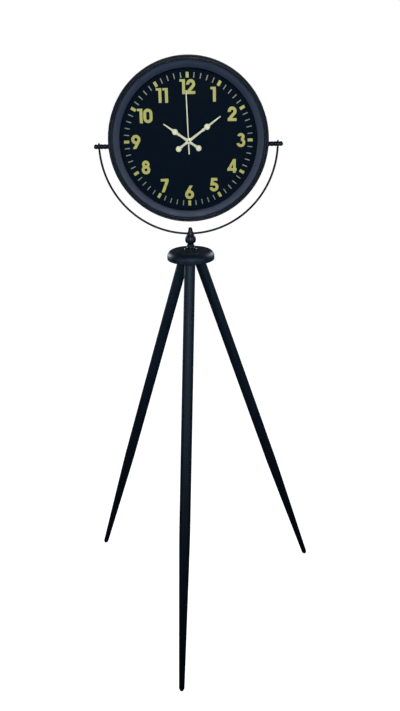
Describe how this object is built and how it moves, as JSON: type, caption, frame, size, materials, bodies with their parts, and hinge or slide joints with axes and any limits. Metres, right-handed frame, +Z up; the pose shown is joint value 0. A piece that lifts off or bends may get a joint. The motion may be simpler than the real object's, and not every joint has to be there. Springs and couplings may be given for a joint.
{
  "type": "tripod floor clock",
  "caption": "Round drum clock in a wire yoke that tilts and swivels on a turned finial above a hub with splayed tapered legs; battery quartz movement behind a glazed dial.",
  "frame": {"origin": "on the floor, on the swivel axis of the hub, midway between the feet", "axes": "+Z up along the swivel axis; the dial faces -Y; +X is to the right as the dial is read"},
  "size_m": [0.6729, 0.6252, 1.5194],
  "materials": {
    "black_wood": "turned hardwood in satin black lacquer",
    "black_metal": "satin black enamel",
    "slate_ring": "satin blue-black enamel",
    "steel": "zinc-plated",
    "rubber": "matt",
    "glass": "clear flat glass",
    "dial_navy": "matt navy black",
    "dial_wall": "matt black",
    "gold_figures": "satin olive gold",
    "pale_marks": "satin pale gold",
    "black_plastic": "moulded, fine texture",
    "brass": "turned",
    "nylon": "moulded",
    "copper_winding": "lacquered wire",
    "board": "solder resist",
    "cell_case": "plain metal sleeve",
    "ivory_hands": "satin ivory gold"
  },
  "bodies": {
    "stand": {"hub": "black_wood", "leg_front": "black_wood", "leg_left": "black_wood", "leg_right": "black_wood", "leg_bolts": "steel", "foot_pads": "rubber", "swivel_stud": "steel", "swivel_nut": "steel", "wave_washer": "steel", "friction_washer": "rubber"},
    "head": {"finial_base": "black_metal", "finial_bulb": "black_metal", "finial_cap": "black_metal", "yoke_rod": "black_metal", "yoke_eyes": "black_metal"},
    "drum": {"drum_case": "black_metal", "bezel_moulding": "black_metal", "bezel_ring": "slate_ring", "glass": "glass", "glass_gasket": "rubber", "dial_spacer": "dial_wall", "dial_plate": "dial_navy", "numerals": "gold_figures", "hour_blocks": "gold_figures", "minute_ticks": "pale_marks", "back_cover": "black_metal", "back_screws": "steel", "trunnion_spacer_left": "black_metal", "trunnion_spacer_right": "black_metal", "trunnion_screws": "steel", "trunnion_plates": "steel", "yoke_washers": "rubber", "movement_case": "black_plastic", "movement_cover": "black_plastic", "movement_bush": "brass", "bush_washer": "rubber", "bush_nut": "brass", "coil_bobbin": "nylon", "coil_winding": "copper_winding", "stator": "steel", "circuit_board": "board", "quartz_crystal": "steel", "contact_positive": "steel", "contact_negative": "steel"},
    "left_knob": {"knob_left": "black_metal"},
    "right_knob": {"knob_right": "black_metal"},
    "seconds_train": {"seconds_wheel": "nylon", "second_hand": "ivory_hands"},
    "minutes_train": {"centre_wheel": "nylon", "minute_hand": "ivory_hands", "hand_nut": "ivory_hands"},
    "hours_train": {"hour_wheel": "nylon", "hour_hand": "ivory_hands"},
    "third_arbor": {"third_wheel": "nylon"},
    "minute_arbor": {"minute_wheel": "nylon"},
    "intermediate_arbor": {"intermediate_wheel": "nylon"},
    "rotor_arbor": {"rotor": "nylon"},
    "setting_shaft": {"setting_knob": "black_plastic"},
    "cell": {"battery": "cell_case"}
  },
  "joints": [
    {"name": "head_swivel", "type": "hinge", "parent": "stand", "child": "head", "pos_m": [0, 0, 1.0644], "axis": [0, 0, 1], "continuous": true},
    {"name": "drum_tilt", "type": "hinge", "parent": "head", "child": "drum", "pos_m": [0, 0, 1.32], "axis": [1, 0, 0], "range_deg": [-150, 150]},
    {"name": "left_knob_turn", "type": "hinge", "parent": "drum", "child": "left_knob", "pos_m": [-0.2205, 0, 1.32], "axis": [1, 0, 0], "continuous": true},
    {"name": "right_knob_turn", "type": "hinge", "parent": "drum", "child": "right_knob", "pos_m": [0.2205, 0, 1.32], "axis": [1, 0, 0], "continuous": true},
    {"name": "second_spin", "type": "hinge", "parent": "drum", "child": "seconds_train", "pos_m": [0, 0, 1.3314], "axis": [0, 1, 0], "continuous": true},
    {"name": "minute_spin", "type": "hinge", "parent": "drum", "child": "minutes_train", "pos_m": [0, 0, 1.3314], "axis": [0, 1, 0], "continuous": true},
    {"name": "hour_spin", "type": "hinge", "parent": "drum", "child": "hours_train", "pos_m": [0, 0, 1.3314], "axis": [0, 1, 0], "continuous": true},
    {"name": "third_spin", "type": "hinge", "parent": "drum", "child": "third_arbor", "pos_m": [-0.00636, 0, 1.33776], "axis": [0, 1, 0], "continuous": true},
    {"name": "minute_wheel_spin", "type": "hinge", "parent": "drum", "child": "minute_arbor", "pos_m": [0.00945, 0, 1.32973], "axis": [0, 1, 0], "continuous": true},
    {"name": "intermediate_spin", "type": "hinge", "parent": "drum", "child": "intermediate_arbor", "pos_m": [-0.00287, 0, 1.32351], "axis": [0, 1, 0], "continuous": true},
    {"name": "rotor_spin", "type": "hinge", "parent": "drum", "child": "rotor_arbor", "pos_m": [-0.00937, 0, 1.32236], "axis": [0, 1, 0], "continuous": true},
    {"name": "setting_spin", "type": "hinge", "parent": "drum", "child": "setting_shaft", "pos_m": [0.01865, 0, 1.32202], "axis": [0, 1, 0], "continuous": true},
    {"name": "battery_slide", "type": "slide", "parent": "drum", "child": "cell", "axis": [0, 1, 0], "range_m": [0, 0.05]}
  ],
  "couplings": [
    {"joint": "minute_spin", "follows": "second_spin", "ratio": 0.016667},
    {"joint": "hour_spin", "follows": "second_spin", "ratio": 0.0013889},
    {"joint": "third_spin", "follows": "second_spin", "ratio": -0.13333},
    {"joint": "minute_wheel_spin", "follows": "second_spin", "ratio": -0.0055556},
    {"joint": "intermediate_spin", "follows": "second_spin", "ratio": -6},
    {"joint": "rotor_spin", "follows": "second_spin", "ratio": 30},
    {"joint": "setting_spin", "follows": "second_spin", "ratio": 0.0083333}
  ]
}
